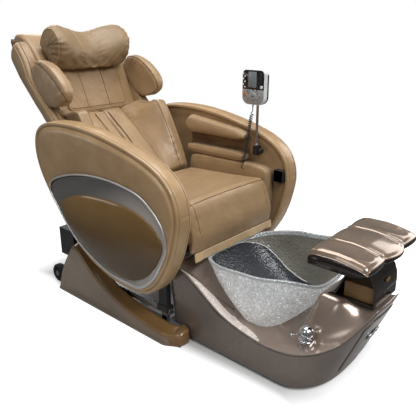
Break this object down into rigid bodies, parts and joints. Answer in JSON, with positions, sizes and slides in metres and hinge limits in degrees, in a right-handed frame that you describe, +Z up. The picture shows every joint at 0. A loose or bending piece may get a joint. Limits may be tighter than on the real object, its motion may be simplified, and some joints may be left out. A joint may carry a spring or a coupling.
{
  "type": "pedicure spa chair",
  "caption": "Reclining massage chair with padded shell arms on a slide base, joined to a pedicure foot tub with a glass bowl, a mixer tap, a footrest tower and a corded handset on a stalk.",
  "frame": {"origin": "middle of the footprint of the whole chair and tub, on the floor", "axes": "+Z up; the chair and the sitter face -Y, the tub lies towards -Y; the sitter's left arm and the handset are at +X"},
  "size_m": [0.82, 1.8748, 1.2087],
  "materials": {
    "frame_steel": "satin grey powder coat",
    "black_frame": "satin black powder coat",
    "tub_shell_finish": "glossy taupe acrylic shell",
    "black_plastic": "moulded matt black plastic",
    "wheel_rubber": "solid rubber tread on a plastic hub",
    "bowl_glass": "clear hammered glass",
    "chrome": "polished chrome",
    "silver_trim": "satin silver trim",
    "gloss_brown": "high-gloss dark brown",
    "grey_inset": "dark grey satin plastic",
    "tan_leather": "padded tan leather with a fine grain",
    "remote_white": "light grey moulded plastic",
    "key_orange": "orange translucent key",
    "key_grey": "grey key",
    "cord_black": "black PVC sheath",
    "rod_steel": "ground steel rod"
  },
  "bodies": {
    "base": {"base_frame": "frame_steel", "slide_rails": "frame_steel", "base_covers": "tub_shell_finish", "levelling_feet": "black_plastic", "power_box": "black_plastic", "tub_shell": "tub_shell_finish", "tub_deck": "tub_shell_finish", "glass_bowl": "bowl_glass", "drain_pipe": "chrome", "access_panel": "tub_shell_finish", "badge": "silver_trim", "mixer_base": "chrome", "foot_tower": "tub_shell_finish", "tower_core": "gloss_brown", "footrest_bracket": "frame_steel"},
    "power_switch": {"power_switch": "black_plastic"},
    "wheel_left": {"wheel_left": "wheel_rubber"},
    "wheel_right": {"wheel_right": "wheel_rubber"},
    "mixer_knob": {"mixer_knob": "chrome"},
    "footrest": {"footrest": "tub_shell_finish", "footrest_carrier": "frame_steel"},
    "seat": {"seat_frame": "black_frame", "arm_pocket": "black_plastic", "seat_pan": "gloss_brown", "seat_cushion": "tan_leather", "seat_skirt": "tan_leather", "arm_panel_left": "tan_leather", "arm_panel_right": "tan_leather", "arm_band_left": "tan_leather", "arm_band_right": "tan_leather", "arm_cushion_left": "tan_leather", "arm_cushion_right": "tan_leather", "arm_rings": "silver_trim", "arm_insets": "grey_inset", "arm_gloss_panels": "gloss_brown", "arm_liners": "tan_leather", "forearm_pads": "tan_leather", "forearm_rolls": "tan_leather", "stalk_socket": "black_plastic", "remote_cord": "cord_black"},
    "handset": {"remote_stalk": "chrome", "remote_case": "remote_white"},
    "key_power": {"key_power": "key_orange"},
    "key_stop": {"key_stop": "remote_white"},
    "key_pad": {"key_pad": "key_grey"},
    "backrest": {"back_frame": "black_frame", "back_board": "gloss_brown", "back_shell": "gloss_brown", "back_wings": "tan_leather", "shoulder_pads": "tan_leather", "lumbar_pads": "tan_leather", "back_straps": "tan_leather", "back_flap": "tan_leather", "upper_back_pad": "tan_leather", "head_pillow": "tan_leather"},
    "massage_carriage": {"massage_carriage": "frame_steel"},
    "massage_rollers": {"massage_rollers": "black_plastic"},
    "actuator_body": {"actuator_body": "black_plastic"},
    "actuator_rod": {"actuator_rod": "rod_steel"}
  },
  "joints": [
    {"name": "seat_slide", "type": "slide", "parent": "base", "child": "seat", "axis": [0, 1, 0], "range_m": [0, 0.07]},
    {"name": "recline", "type": "hinge", "parent": "seat", "child": "backrest", "pos_m": [0, 0.25115, 0.5], "axis": [1, 0, 0], "range_deg": [-8, 20]},
    {"name": "actuator_swing", "type": "hinge", "parent": "seat", "child": "actuator_body", "pos_m": [0, -0.09885, 0.36], "axis": [1, 0, 0], "range_deg": [-2, 4.5]},
    {"name": "actuator_stroke", "type": "slide", "parent": "actuator_body", "child": "actuator_rod", "axis": [0, 0.9997, 0.0238], "range_m": [-0.02, 0.046]},
    {"name": "massage_travel", "type": "slide", "parent": "backrest", "child": "massage_carriage", "axis": [0, 0.7193, 0.6947], "range_m": [-0.2, 0.2]},
    {"name": "roller_spin", "type": "hinge", "parent": "massage_carriage", "child": "massage_rollers", "pos_m": [0, 0.58279, 0.75168], "axis": [1, 0, 0], "continuous": true},
    {"name": "footrest_tilt", "type": "hinge", "parent": "base", "child": "footrest", "pos_m": [0, -0.83885, 0.476], "axis": [1, 0, 0], "range_deg": [-10, 10]},
    {"name": "mixer_turn", "type": "hinge", "parent": "base", "child": "mixer_knob", "pos_m": [-0.188, -0.72685, 0.215], "axis": [0, 0, 1], "range_deg": [-60, 60]},
    {"name": "wheel_left_spin", "type": "hinge", "parent": "base", "child": "wheel_left", "pos_m": [0.3, 0.60615, 0.048], "axis": [1, 0, 0], "continuous": true},
    {"name": "wheel_right_spin", "type": "hinge", "parent": "base", "child": "wheel_right", "pos_m": [-0.3, 0.60615, 0.048], "axis": [1, 0, 0], "continuous": true},
    {"name": "power_rocker", "type": "hinge", "parent": "base", "child": "power_switch", "pos_m": [-0.24, 0.57215, 0.245], "axis": [1, 0, 0], "range_deg": [-7, 7]},
    {"name": "handset_swivel", "type": "hinge", "parent": "seat", "child": "handset", "pos_m": [0.3, -0.13485, 0.7], "axis": [0, 0, 1], "range_deg": [-30, 30], "deforming": ["remote_cord"]},
    {"name": "key_power_press", "type": "slide", "parent": "handset", "child": "key_power", "axis": [1, 0, 0], "range_m": [0, 0.0015], "stiffness_N_per_m": 400},
    {"name": "key_stop_press", "type": "slide", "parent": "handset", "child": "key_stop", "axis": [1, 0, 0], "range_m": [0, 0.0015], "stiffness_N_per_m": 400},
    {"name": "key_pad_press", "type": "slide", "parent": "handset", "child": "key_pad", "axis": [1, 0, 0], "range_m": [0, 0.0015], "stiffness_N_per_m": 400}
  ],
  "couplings": [
    {"joint": "actuator_swing", "follows": "recline", "ratio": 0.187},
    {"joint": "actuator_stroke", "follows": "recline", "m_per_rad": 0.124}
  ]
}
